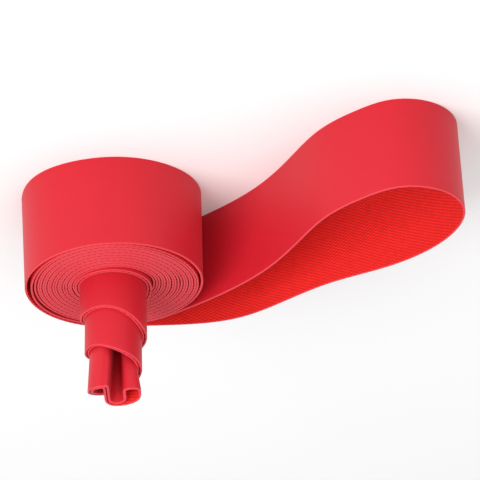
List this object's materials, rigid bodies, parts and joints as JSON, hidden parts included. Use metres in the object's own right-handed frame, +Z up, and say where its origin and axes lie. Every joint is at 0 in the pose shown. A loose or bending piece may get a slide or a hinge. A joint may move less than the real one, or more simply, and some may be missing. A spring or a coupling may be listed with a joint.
{
  "type": "bicycle rim strip",
  "caption": "Endless bicycle rim strip pressed flat and rolled up, with a free loop at one side and its core drawn out upwards in steps.",
  "frame": {"origin": "middle of the outline's box, at the height of the lower edges that the strip stands on", "axes": "+Z up along the roll's axis and towards the drawn-out core, +X from the free loop towards the roll, +Y to the side that the loop leaves the roll on"},
  "size_m": [0.0808, 0.0486, 0.0403],
  "materials": {
    "band": "matte soft plastic, smooth outside and finely netted inside"
  },
  "bodies": {
    "roll": {"core_01_inner_ply": "band", "core_01_outer_ply": "band", "loop_end_bend": "band", "loop_inner_lap": "band", "loop_inner_run": "band", "loop_outer_run": "band", "turn_01_inner_ply": "band", "turn_01_outer_ply": "band", "turn_02_inner_ply": "band", "turn_02_outer_ply": "band", "turn_03_inner_ply": "band", "turn_03_outer_ply": "band", "turn_04_inner_ply": "band", "turn_04_outer_ply": "band", "turn_05_inner_ply": "band", "turn_05_outer_ply": "band", "turn_06_inner_ply": "band", "turn_06_outer_ply": "band", "turn_07_inner_ply": "band", "turn_07_outer_ply": "band", "turn_08_inner_ply": "band", "turn_08_outer_ply": "band", "turn_09_inner_ply": "band", "turn_09_outer_ply": "band", "turn_10_inner_ply": "band", "turn_10_outer_ply": "band"},
    "core_02": {"core_02_outer_ply": "band", "core_02_inner_ply": "band"},
    "core_03": {"core_03_outer_ply": "band", "core_03_inner_ply": "band"},
    "core_04": {"core_04_outer_ply": "band", "core_04_inner_ply": "band"},
    "core_05": {"core_05_outer_ply": "band", "core_05_inner_ply": "band"},
    "core_06": {"core_06_outer_ply": "band", "core_06_inner_ply": "band"},
    "core_07": {"core_07_outer_ply": "band", "core_07_inner_ply": "band"},
    "core_08": {"core_08_outer_ply": "band", "core_08_inner_ply": "band"},
    "core_09": {"core_09_outer_ply": "band", "core_09_inner_ply": "band"},
    "core_10": {"core_10_outer_ply": "band", "core_10_inner_ply": "band"},
    "tip": {"tip_outer_ply": "band", "tip_inner_ply": "band", "inner_fold": "band"}
  },
  "joints": [
    {"name": "core_02_slide", "type": "slide", "parent": "roll", "child": "core_02", "axis": [0, 0, 1], "range_m": [-0.0034, 0.0017]},
    {"name": "core_03_slide", "type": "slide", "parent": "core_02", "child": "core_03", "axis": [0, 0, 1], "range_m": [-0.0034, 0.0017]},
    {"name": "core_04_slide", "type": "slide", "parent": "core_03", "child": "core_04", "axis": [0, 0, 1], "range_m": [-0.00185, 0.00093]},
    {"name": "core_05_slide", "type": "slide", "parent": "core_04", "child": "core_05", "axis": [0, 0, 1], "range_m": [-0.00185, 0.00093]},
    {"name": "core_06_slide", "type": "slide", "parent": "core_05", "child": "core_06", "axis": [0, 0, 1], "range_m": [-0.00185, 0.00093]},
    {"name": "core_07_slide", "type": "slide", "parent": "core_06", "child": "core_07", "axis": [0, 0, 1], "range_m": [-0.00185, 0.00093]},
    {"name": "core_08_slide", "type": "slide", "parent": "core_07", "child": "core_08", "axis": [0, 0, 1], "range_m": [-0.00185, 0.00093]},
    {"name": "core_09_slide", "type": "slide", "parent": "core_08", "child": "core_09", "axis": [0, 0, 1], "range_m": [-0.00185, 0.00093]},
    {"name": "core_10_slide", "type": "slide", "parent": "core_09", "child": "core_10", "axis": [0, 0, 1], "range_m": [-0.00185, 0.00093]},
    {"name": "tip_slide", "type": "slide", "parent": "core_10", "child": "tip", "axis": [0, 0, 1], "range_m": [-0.00255, 0.00128]}
  ],
  "couplings": [
    {"joint": "core_03_slide", "follows": "core_02_slide", "ratio": 1},
    {"joint": "core_04_slide", "follows": "core_02_slide", "ratio": 0.54412},
    {"joint": "core_05_slide", "follows": "core_02_slide", "ratio": 0.54412},
    {"joint": "core_06_slide", "follows": "core_02_slide", "ratio": 0.54412},
    {"joint": "core_07_slide", "follows": "core_02_slide", "ratio": 0.54412},
    {"joint": "core_08_slide", "follows": "core_02_slide", "ratio": 0.54412},
    {"joint": "core_09_slide", "follows": "core_02_slide", "ratio": 0.54412},
    {"joint": "core_10_slide", "follows": "core_02_slide", "ratio": 0.54412},
    {"joint": "tip_slide", "follows": "core_02_slide", "ratio": 0.75}
  ]
}
